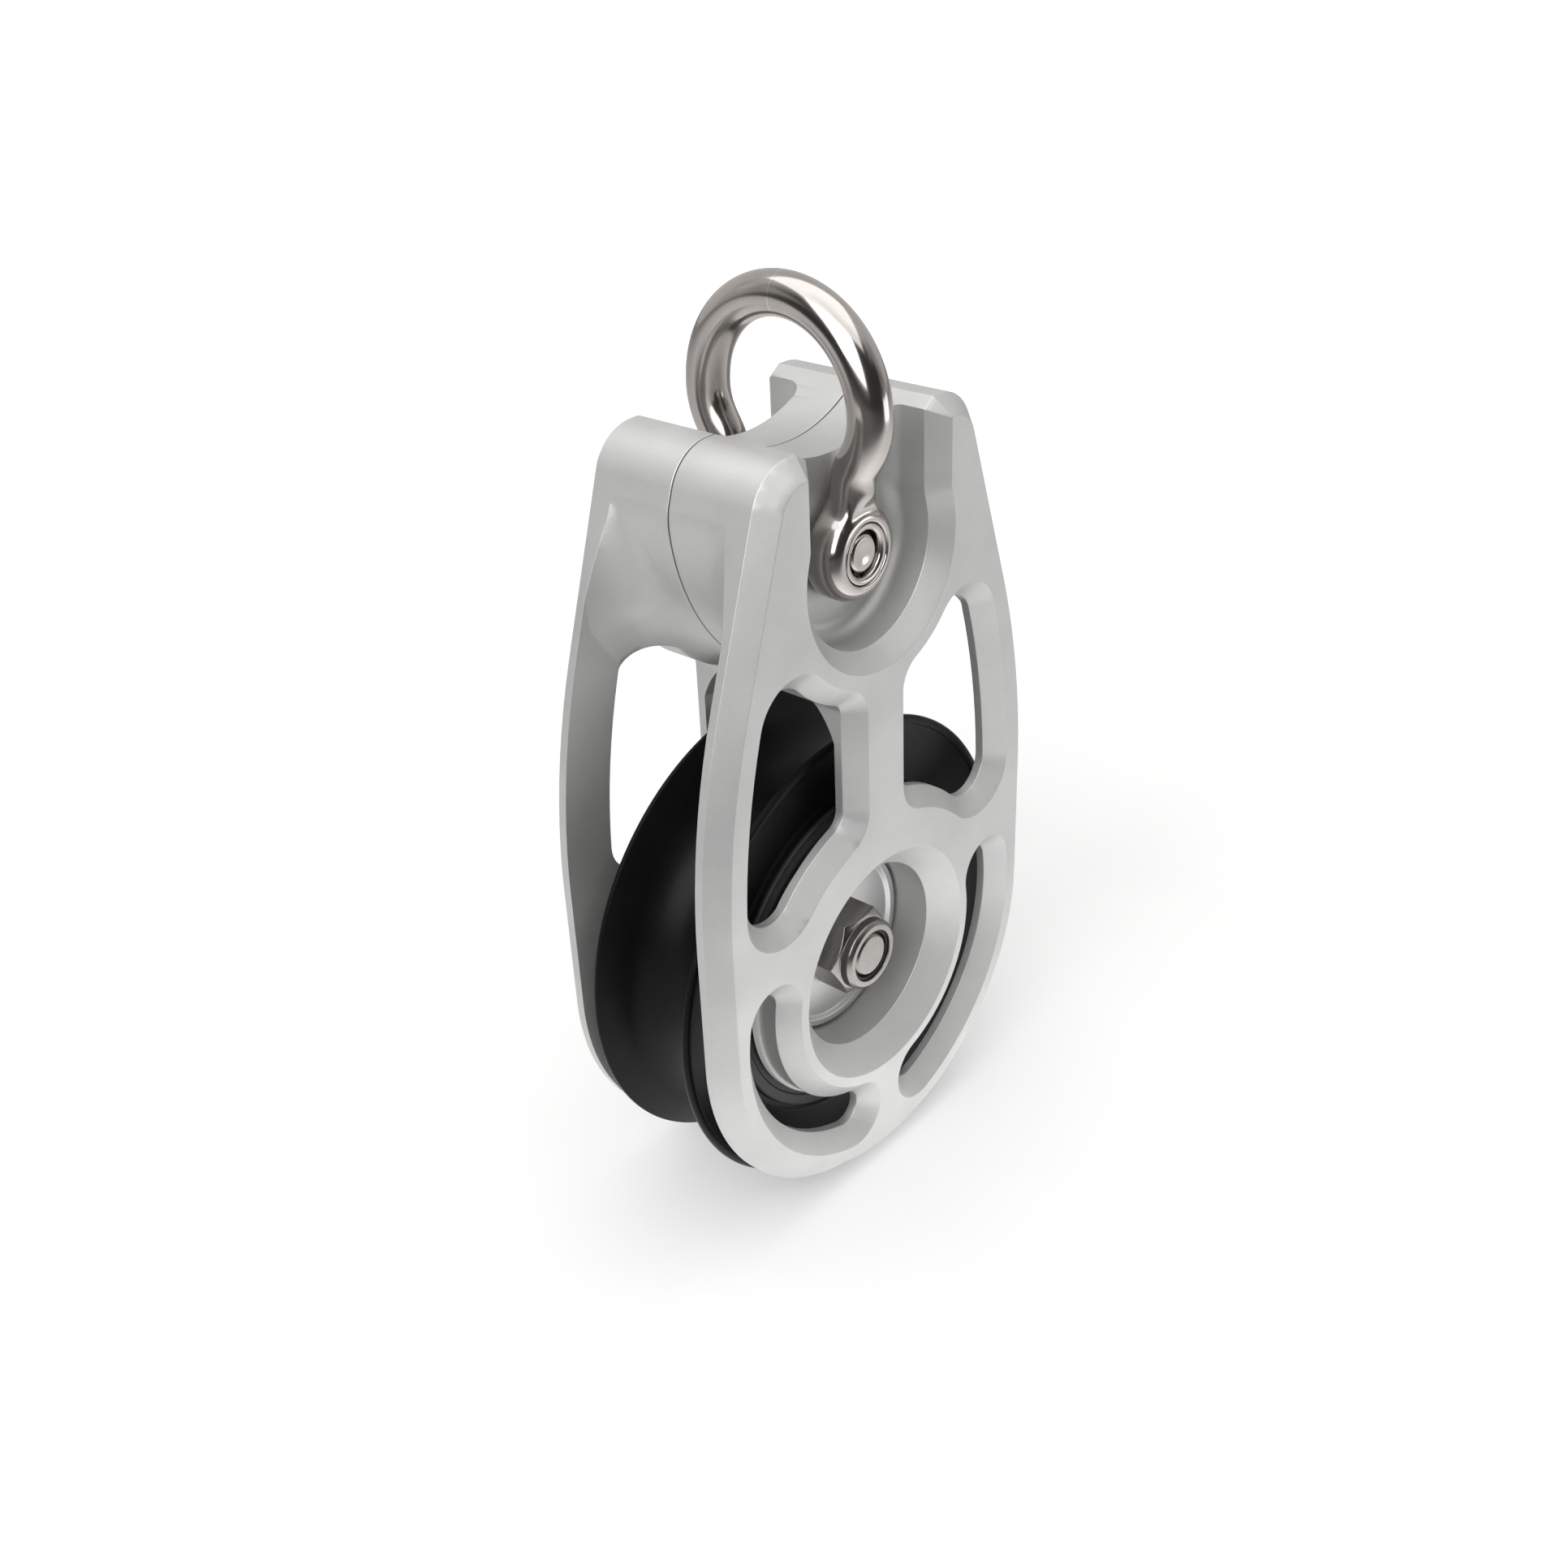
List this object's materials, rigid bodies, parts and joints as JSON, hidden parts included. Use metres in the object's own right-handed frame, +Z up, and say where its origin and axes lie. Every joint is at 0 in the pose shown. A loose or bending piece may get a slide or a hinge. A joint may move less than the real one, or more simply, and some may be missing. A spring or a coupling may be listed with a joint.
{
  "type": "sailing block",
  "caption": "Single rope block: two milled cheeks with windows, a grooved sheave on rollers and a swinging bow shackle.",
  "frame": {"origin": "the load seat: the top of the inside of the bow, on the block's middle plane", "axes": "+X to the right seen from the nut's side, +Y along the axle from the nut to the bolt's head, +Z up from the sheave to the bow"},
  "size_m": [0.06, 0.0282, 0.1125],
  "materials": {
    "cheek": "bead-blasted and clear anodised",
    "sheave": "satin black anodised",
    "cap": "moulded black, fine matt",
    "cage": "moulded, natural",
    "roller": "bearing plastic, smooth",
    "slide_ring": "white bearing plastic",
    "stainless": "mirror polished stainless steel",
    "fastener": "plain stainless steel",
    "race": "ground stainless steel",
    "disc": "satin, clear anodised",
    "insert": "black locking ring",
    "bush": "dark bearing plastic"
  },
  "bodies": {
    "shackle": {"shackle_bow": "stainless", "shackle_pin": "stainless", "front_pin_collar": "stainless", "rear_pin_collar": "stainless"},
    "cheeks": {"front_cheek": "cheek", "rear_cheek": "cheek", "inner_race": "race", "front_thrust_ring": "slide_ring", "rear_thrust_ring": "slide_ring", "front_hub_disc": "disc", "rear_hub_disc": "disc", "axle_bolt": "fastener", "axle_nut": "fastener", "nut_insert": "insert", "pin_bush": "bush", "front_eye_washer": "bush", "rear_eye_washer": "bush", "head_dowels": "race"},
    "sheave": {"sheave": "sheave", "front_bearing_cap": "cap", "rear_bearing_cap": "cap"},
    "cage": {"roller_cage": "cage", "rollers": "roller"}
  },
  "joints": [
    {"name": "head_swing", "type": "hinge", "parent": "shackle", "child": "cheeks", "pos_m": [0, 0, -0.02436], "axis": [0, 1, 0], "range_deg": [-27, 27]},
    {"name": "sheave_spin", "type": "hinge", "parent": "cheeks", "child": "sheave", "pos_m": [0, 0, -0.07751], "axis": [0, 1, 0], "continuous": true},
    {"name": "cage_spin", "type": "hinge", "parent": "cheeks", "child": "cage", "pos_m": [0, 0, -0.07751], "axis": [0, 1, 0], "continuous": true}
  ],
  "couplings": [
    {"joint": "cage_spin", "follows": "sheave_spin", "ratio": 0.53556}
  ]
}
